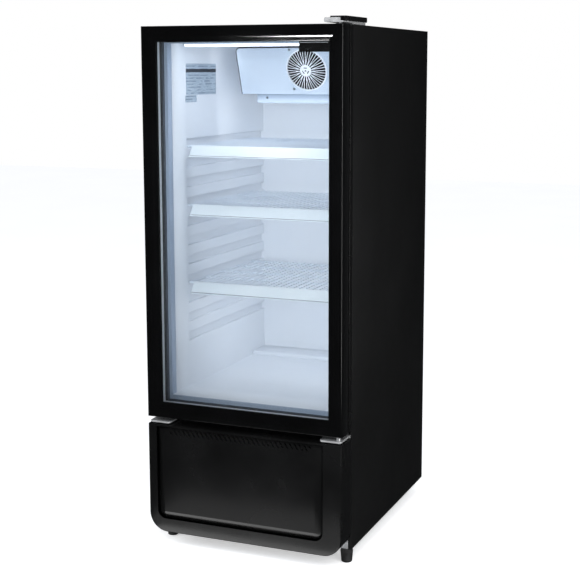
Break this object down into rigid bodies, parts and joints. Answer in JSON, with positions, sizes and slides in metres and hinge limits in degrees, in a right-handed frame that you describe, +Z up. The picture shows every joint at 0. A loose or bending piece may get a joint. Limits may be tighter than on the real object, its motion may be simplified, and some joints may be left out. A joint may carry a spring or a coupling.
{
  "type": "glass door merchandiser",
  "caption": "Upright refrigerated display cabinet with a hinged glazed door, wire shelves on grooved side walls and a cooling unit below and at the top.",
  "frame": {"origin": "on the floor, under the middle of the cabinet in width and depth", "axes": "+Z up, +X towards the hinge side (right when facing the door), -Y towards the person who opens the door"},
  "size_m": [0.62, 0.79, 1.577],
  "materials": {
    "black_gloss": "gloss",
    "black_satin": "satin",
    "black_plastic": "satin",
    "galvanised": "satin",
    "foam": "matte",
    "white_liner": "satin",
    "white_plastic": "satin",
    "white_wire": "gloss",
    "diffuser": "satin",
    "glass": "polished",
    "spacer_silver": "satin",
    "gasket_grey": "matte",
    "chrome_steel": "polished",
    "rubber_black": "matte",
    "coil_aluminium": "satin",
    "copper": "satin",
    "compressor_black": "satin",
    "label": "satin",
    "badge": "gloss",
    "zinc_screw": "satin"
  },
  "bodies": {
    "cabinet": {"back_panel": "black_satin", "base_pan": "galvanised", "bottom_hinge_plate": "chrome_steel", "compartment_deck": "galvanised", "compressor": "compressor_black", "condensate_pan": "galvanised", "condenser_coil": "coil_aluminium", "condenser_fan_motor": "compressor_black", "condenser_shroud": "black_plastic", "cord_inlet": "black_plastic", "drain_tube": "white_plastic", "drip_tray": "white_plastic", "evaporator_coil": "coil_aluminium", "evaporator_cover": "white_plastic", "evaporator_fan_motor": "compressor_black", "fan_guard": "white_plastic", "filter_drier": "copper", "front_frame": "black_plastic", "hinge_bolts": "zinc_screw", "inner_liner": "white_liner", "insulation_foam": "foam", "kick_frame": "black_plastic", "kick_insert": "black_plastic", "light_diffuser": "diffuser", "light_housing": "white_plastic", "pan_head_screws": "zinc_screw", "rating_label": "label", "rear_grille": "black_satin", "refrigerant_tubes": "copper", "shelf_lower": "white_wire", "shelf_middle": "white_wire", "shelf_upper": "white_wire", "side_panel_left": "black_satin", "side_panel_right": "black_satin", "spare_hinge_plate": "chrome_steel", "switch_body": "black_plastic", "thermostat_body": "white_plastic", "ticket_rail_lower": "white_plastic", "ticket_rail_middle": "white_plastic", "ticket_rail_upper": "white_plastic", "top_hinge_bracket": "chrome_steel", "top_hinge_cover": "black_plastic", "top_panel": "black_satin"},
    "door": {"door_stile_left": "black_gloss", "door_stile_right": "black_gloss", "door_rail_top": "black_gloss", "door_rail_bottom": "black_gloss", "glass_outer": "glass", "glass_inner": "glass", "glass_spacer": "spacer_silver", "door_gasket": "gasket_grey", "badge_plate": "badge"},
    "evaporator_fan_rotor": {"evaporator_fan": "black_plastic"},
    "condenser_fan_rotor": {"condenser_fan": "black_plastic"},
    "thermostat_dial": {"thermostat_knob": "black_plastic"},
    "lamp_rocker": {"light_rocker": "black_plastic"},
    "levelling_foot_front_left": {"foot_front_left": "rubber_black"},
    "levelling_foot_front_right": {"foot_front_right": "rubber_black"},
    "levelling_foot_rear_left": {"foot_rear_left": "rubber_black"},
    "levelling_foot_rear_right": {"foot_rear_right": "rubber_black"}
  },
  "joints": [
    {"name": "door_hinge", "type": "hinge", "parent": "cabinet", "child": "door", "pos_m": [0.294, -0.375, 0], "axis": [0, 0, 1], "range_deg": [0, 110]},
    {"name": "evaporator_fan_spin", "type": "hinge", "parent": "cabinet", "child": "evaporator_fan_rotor", "pos_m": [0.045, -0.002, 1.4315], "axis": [0, -0.9493, -0.3143], "continuous": true},
    {"name": "condenser_fan_spin", "type": "hinge", "parent": "cabinet", "child": "condenser_fan_rotor", "pos_m": [-0.1, -0.183, 0.201], "axis": [0, -1, 0], "continuous": true},
    {"name": "thermostat_turn", "type": "hinge", "parent": "cabinet", "child": "thermostat_dial", "pos_m": [0.208, -0.002, 1.4315], "axis": [0, 0.9493, 0.3143], "range_deg": [0, 270]},
    {"name": "lamp_switch", "type": "hinge", "parent": "cabinet", "child": "lamp_rocker", "pos_m": [0.15, -0.00295, 1.43119], "axis": [1, 0, 0], "range_deg": [0, 16]},
    {"name": "foot_screw_front_left", "type": "slide", "parent": "cabinet", "child": "levelling_foot_front_left", "axis": [0, 0, -1], "range_m": [0, 0.015]},
    {"name": "foot_screw_front_right", "type": "slide", "parent": "cabinet", "child": "levelling_foot_front_right", "axis": [0, 0, -1], "range_m": [0, 0.015]},
    {"name": "foot_screw_rear_left", "type": "slide", "parent": "cabinet", "child": "levelling_foot_rear_left", "axis": [0, 0, -1], "range_m": [0, 0.015]},
    {"name": "foot_screw_rear_right", "type": "slide", "parent": "cabinet", "child": "levelling_foot_rear_right", "axis": [0, 0, -1], "range_m": [0, 0.015]}
  ]
}
